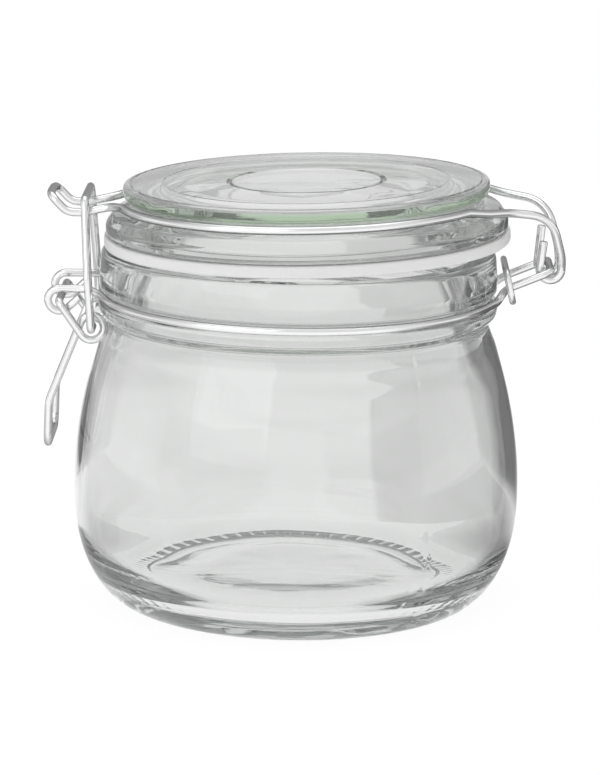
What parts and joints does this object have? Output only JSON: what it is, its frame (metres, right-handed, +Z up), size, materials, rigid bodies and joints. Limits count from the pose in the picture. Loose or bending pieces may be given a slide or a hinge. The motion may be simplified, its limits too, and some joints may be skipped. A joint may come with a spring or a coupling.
{
  "type": "clip-top storage jar",
  "caption": "Bellied glass storage jar with a domed-edge glass lid, rubber seal ring and hinged wire clip closure.",
  "frame": {"origin": "centre of the overall box at table height, 1.6 mm from the jar's own axis towards the hinge", "axes": "+Z up; the latch is at -X and the lid's hinge at +X; Y runs along the hinge"},
  "size_m": [0.1255, 0.109, 0.1044],
  "materials": {
    "jar_glass": "clear pressed glass, fire polished, with a knurled contact ring under the base",
    "lid_glass": "clear pressed glass, pale green where it is thick",
    "rubber": "translucent white rubber, satin",
    "steel": "bright drawn steel wire"
  },
  "bodies": {
    "jar": {"jar_glass": "jar_glass", "neck_wire": "steel", "clip_ring": "steel"},
    "lid": {"lid_glass": "lid_glass", "seal_ring": "rubber", "lid_wire": "steel"},
    "lever": {"lever": "steel"},
    "link": {"latch_link": "steel"}
  },
  "joints": [
    {"name": "lid_hinge", "type": "hinge", "parent": "jar", "child": "lid", "pos_m": [0.0592, 0, 0.083], "axis": [0, 1, 0], "range_deg": [0, 165]},
    {"name": "lever_pivot", "type": "hinge", "parent": "jar", "child": "lever", "pos_m": [-0.0589, 0, 0.0748], "axis": [0, 1, 0], "range_deg": [0, 66.5]},
    {"name": "link_pivot", "type": "hinge", "parent": "lever", "child": "link", "pos_m": [-0.051, 0, 0.0684], "axis": [0, 1, 0], "range_deg": [-133, 0]}
  ],
  "couplings": [
    {"joint": "link_pivot", "follows": "lever_pivot", "ratio": -2}
  ]
}
